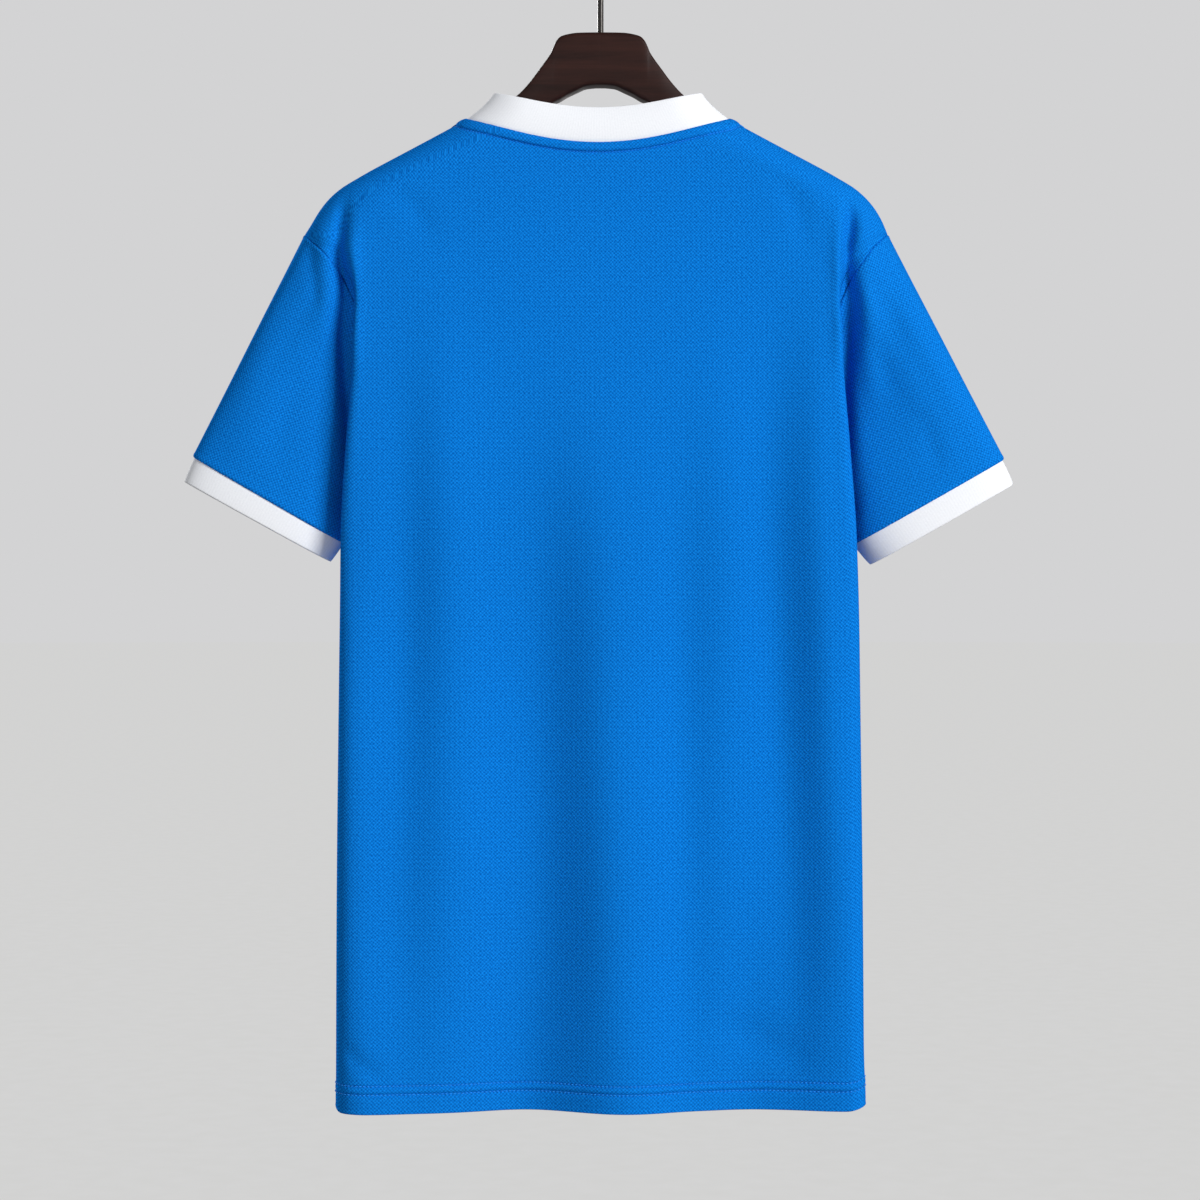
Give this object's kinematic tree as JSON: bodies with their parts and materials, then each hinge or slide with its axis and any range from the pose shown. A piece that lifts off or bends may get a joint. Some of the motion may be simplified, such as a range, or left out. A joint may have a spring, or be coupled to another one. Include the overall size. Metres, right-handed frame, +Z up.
{
  "type": "football jersey on a wooden hanger",
  "caption": "Short-sleeved blue football jersey with white rib collar and cuffs, hung open and flat on a shaped wooden hanger with a wire hook.",
  "frame": {"origin": "the inside of the top of the wire hook, where a rail holds it", "axes": "+Z up; the wearer's front faces -Y, and +X is the wearer's left"},
  "size_m": [0.5994, 0.099, 0.846],
  "materials": {
    "jersey": "soft",
    "rib": "soft",
    "wood": "satin",
    "wire": "satin"
  },
  "bodies": {
    "root": {"front": "jersey", "back": "jersey", "sleeve_left": "jersey", "sleeve_right": "jersey", "cuff_left": "rib", "cuff_right": "rib", "collar": "rib", "hanger": "wood", "hook": "wire"}
  },
  "joints": []
}
